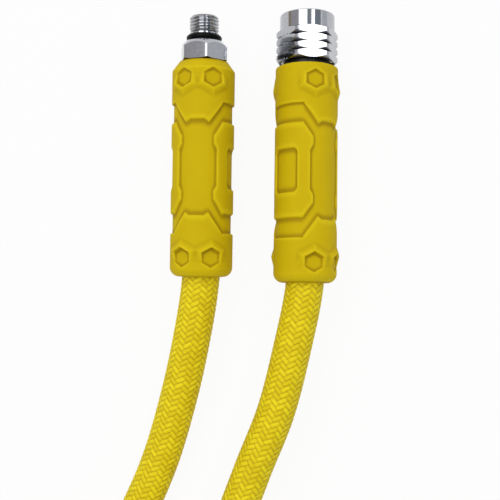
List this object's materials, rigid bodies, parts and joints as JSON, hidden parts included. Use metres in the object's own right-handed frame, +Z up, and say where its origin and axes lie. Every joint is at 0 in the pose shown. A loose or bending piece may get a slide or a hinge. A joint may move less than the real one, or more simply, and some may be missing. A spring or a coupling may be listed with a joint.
{
  "type": "low-pressure air hose",
  "caption": "Braided low-pressure air hose with a threaded fitting at one end, a ball-lock quick coupler at the other and a moulded rubber protector over each end.",
  "frame": {"origin": "on the ground under the middle of the two fitted ends, without the loop of free hose", "axes": "+Y runs out of the threaded end along its axis, +Z is up from the ground, +X runs from the threaded end towards the coupler end"},
  "size_m": [0.1187, 0.3062, 0.0254],
  "materials": {
    "braided_hose": "woven braid over rubber, satin",
    "yellow_rubber": "moulded, matt",
    "black_rubber": "smooth, satin",
    "chrome_plate": "polished",
    "brass": "machined",
    "spring_steel": "bright"
  },
  "bodies": {
    "hose_assembly": {"hose": "braided_hose", "thread_end_hose": "braided_hose", "coupler_end_hose": "braided_hose", "thread_fitting": "chrome_plate", "port_o_ring": "black_rubber", "thread_ferrule": "chrome_plate", "thread_boot": "yellow_rubber", "coupler_stem": "brass", "stem_o_ring": "black_rubber", "coupler_ferrule": "chrome_plate", "coupler_boot": "yellow_rubber", "coupler_body": "chrome_plate", "plug_o_ring": "black_rubber", "valve_core_body": "brass", "valve_spring": "spring_steel"},
    "sleeve_carrier": {"sleeve_spring": "spring_steel"},
    "sleeve": {"locking_sleeve": "chrome_plate", "sleeve_retaining_ring": "spring_steel"},
    "ball_1": {"locking_ball_1": "spring_steel"},
    "ball_2": {"locking_ball_2": "spring_steel"},
    "ball_3": {"locking_ball_3": "spring_steel"},
    "ball_4": {"locking_ball_4": "spring_steel"},
    "ball_5": {"locking_ball_5": "spring_steel"},
    "ball_6": {"locking_ball_6": "spring_steel"},
    "valve": {"valve_pin": "spring_steel", "valve_seal": "black_rubber"}
  },
  "joints": [
    {"name": "sleeve_spin", "type": "hinge", "parent": "hose_assembly", "child": "sleeve_carrier", "pos_m": [0.0163, 0.0257, 0.01042], "axis": [0, 0.9977, -0.0671], "continuous": true},
    {"name": "sleeve_pull", "type": "slide", "parent": "sleeve_carrier", "child": "sleeve", "axis": [0, -0.9977, 0.0671], "range_m": [0, 0.0013], "stiffness_N_per_m": 1500, "springref_m": -0.002, "deforming": ["sleeve_spring"]},
    {"name": "ball_1_release", "type": "slide", "parent": "hose_assembly", "child": "ball_1", "axis": [1, 0, 0], "range_m": [0, 0.0006]},
    {"name": "ball_2_release", "type": "slide", "parent": "hose_assembly", "child": "ball_2", "axis": [0.5, -0.0581, -0.8641], "range_m": [0, 0.0006]},
    {"name": "ball_3_release", "type": "slide", "parent": "hose_assembly", "child": "ball_3", "axis": [-0.5, -0.0581, -0.8641], "range_m": [0, 0.0006]},
    {"name": "ball_4_release", "type": "slide", "parent": "hose_assembly", "child": "ball_4", "axis": [-1, 0, 0], "range_m": [0, 0.0006]},
    {"name": "ball_5_release", "type": "slide", "parent": "hose_assembly", "child": "ball_5", "axis": [-0.5, 0.0581, 0.8641], "range_m": [0, 0.0006]},
    {"name": "ball_6_release", "type": "slide", "parent": "hose_assembly", "child": "ball_6", "axis": [0.5, 0.0581, 0.8641], "range_m": [0, 0.0006]},
    {"name": "valve_press", "type": "slide", "parent": "hose_assembly", "child": "valve", "axis": [0, -0.9977, 0.0671], "range_m": [0, 0.0013], "stiffness_N_per_m": 700, "springref_m": -0.001, "deforming": ["valve_spring"]}
  ],
  "couplings": [
    {"joint": "ball_1_release", "follows": "sleeve_pull", "ratio": 0.46},
    {"joint": "ball_2_release", "follows": "sleeve_pull", "ratio": 0.46},
    {"joint": "ball_3_release", "follows": "sleeve_pull", "ratio": 0.46},
    {"joint": "ball_4_release", "follows": "sleeve_pull", "ratio": 0.46},
    {"joint": "ball_5_release", "follows": "sleeve_pull", "ratio": 0.46},
    {"joint": "ball_6_release", "follows": "sleeve_pull", "ratio": 0.46}
  ]
}
